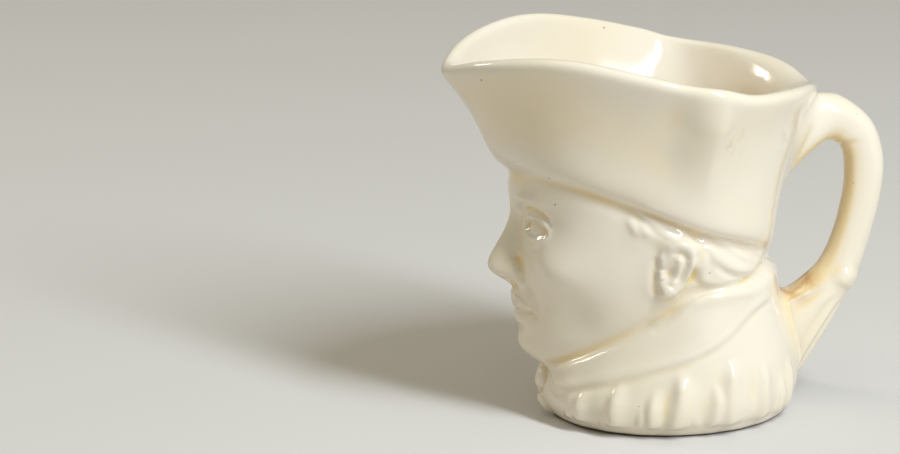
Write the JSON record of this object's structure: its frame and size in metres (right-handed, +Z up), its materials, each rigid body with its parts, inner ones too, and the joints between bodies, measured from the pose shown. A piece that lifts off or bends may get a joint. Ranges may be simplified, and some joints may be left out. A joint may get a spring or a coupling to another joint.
{
  "type": "character jug",
  "caption": "Small glazed pottery jug shaped as a calm head in a cornered hat and buttoned cape, with a cord-and-tassel handle behind.",
  "frame": {"origin": "centre of the foot, on the plane that the jug stands on", "axes": "+Z up, -Y towards where the face looks, +Y towards the handle, +X towards the wearer's left"},
  "size_m": [0.0776, 0.0997, 0.0852],
  "materials": {
    "body_glaze": "glossy warm cream glaze",
    "handle_glaze": "glossy warm cream glaze",
    "lute_glaze": "glossy cream glaze, pooled darker in the joint"
  },
  "bodies": {
    "root": {"jug_body": "body_glaze", "handle": "handle_glaze", "upper_lute": "lute_glaze", "lower_lute": "lute_glaze"}
  },
  "joints": []
}
